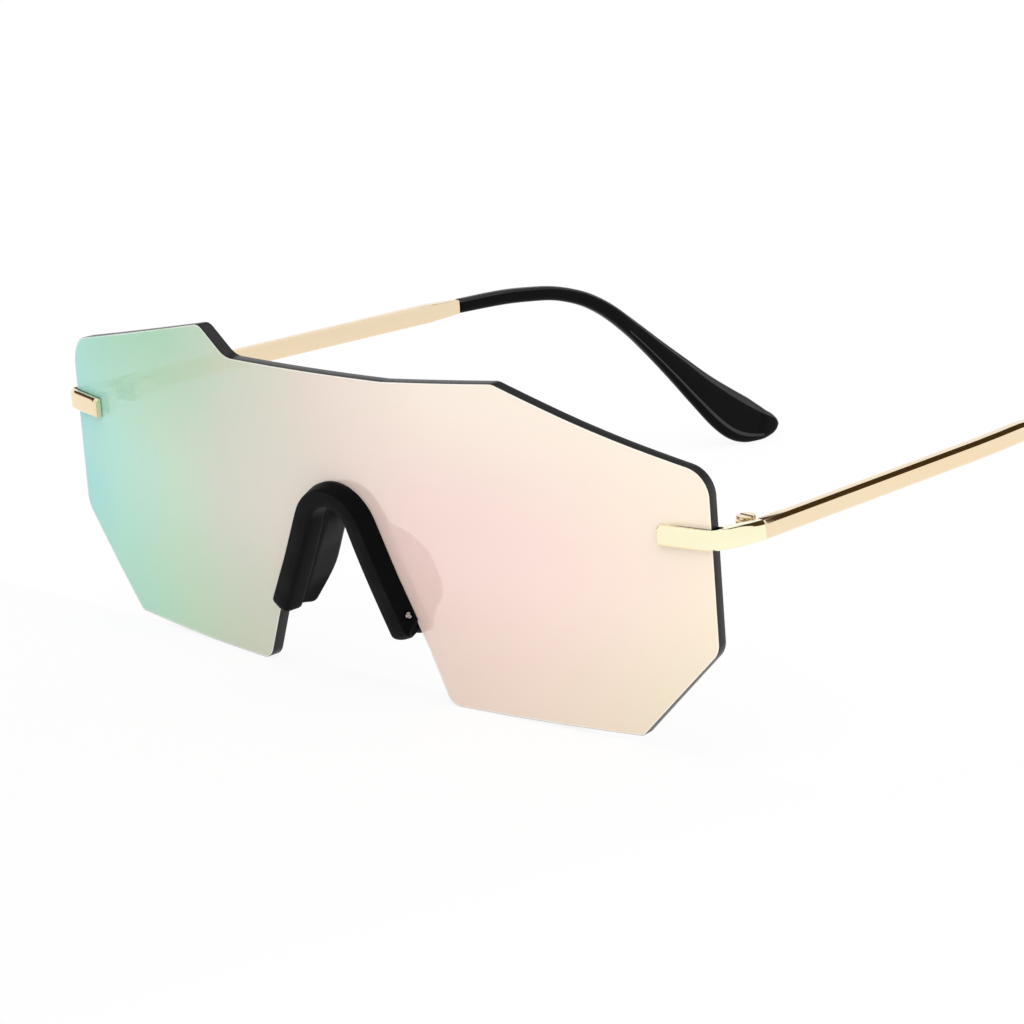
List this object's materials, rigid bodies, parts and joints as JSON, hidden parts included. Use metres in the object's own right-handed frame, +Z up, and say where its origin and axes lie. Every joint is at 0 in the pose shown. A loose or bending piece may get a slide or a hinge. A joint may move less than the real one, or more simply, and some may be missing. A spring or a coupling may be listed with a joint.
{
  "type": "shield sunglasses",
  "caption": "Rimless shield sunglasses: a mirrored wrap lens with a clamped nose bridge, side clips and slim temples that fold on screw hinges.",
  "frame": {"origin": "middle of the overall footprint at table level, with the temples open", "axes": "+X to the wearer's left, +Y from the lens back along the temples, +Z up; the lens faces -Y"},
  "size_m": [0.1472, 0.1624, 0.0525],
  "materials": {
    "mirror_lens": "polycarbonate with a thin rose gold mirror coat that shades to green and blue at the edges",
    "matte_black": "fine matte moulded nylon",
    "polished_gold": "polished light gold plating",
    "steel": "plain steel screws",
    "clear_bushing": "clear nylon",
    "gloss_black": "glossy black acetate"
  },
  "bodies": {
    "front": {"shield_lens": "mirror_lens", "front_bridge": "matte_black", "nose_saddle": "matte_black", "left_bridge_screw": "steel", "left_end_clip": "polished_gold", "left_lens_screw": "polished_gold", "left_lens_bushing": "clear_bushing", "left_hinge_front_leaf": "polished_gold", "left_hinge_screw": "polished_gold", "right_bridge_screw": "steel", "right_end_clip": "polished_gold", "right_lens_screw": "polished_gold", "right_lens_bushing": "clear_bushing", "right_hinge_front_leaf": "polished_gold", "right_hinge_screw": "polished_gold"},
    "left_temple": {"left_hinge_rear_leaf": "polished_gold", "left_temple_bar": "polished_gold", "left_temple_tip": "gloss_black"},
    "right_temple": {"right_hinge_rear_leaf": "polished_gold", "right_temple_bar": "polished_gold", "right_temple_tip": "gloss_black"}
  },
  "joints": [
    {"name": "left_temple_hinge", "type": "hinge", "parent": "front", "child": "left_temple", "pos_m": [0.06974, -0.05995, 0.03302], "axis": [0, -0.0359, 0.9994], "range_deg": [0, 90]},
    {"name": "right_temple_hinge", "type": "hinge", "parent": "front", "child": "right_temple", "pos_m": [-0.06974, -0.05995, 0.03302], "axis": [0, 0.0359, -0.9994], "range_deg": [0, 84]}
  ]
}
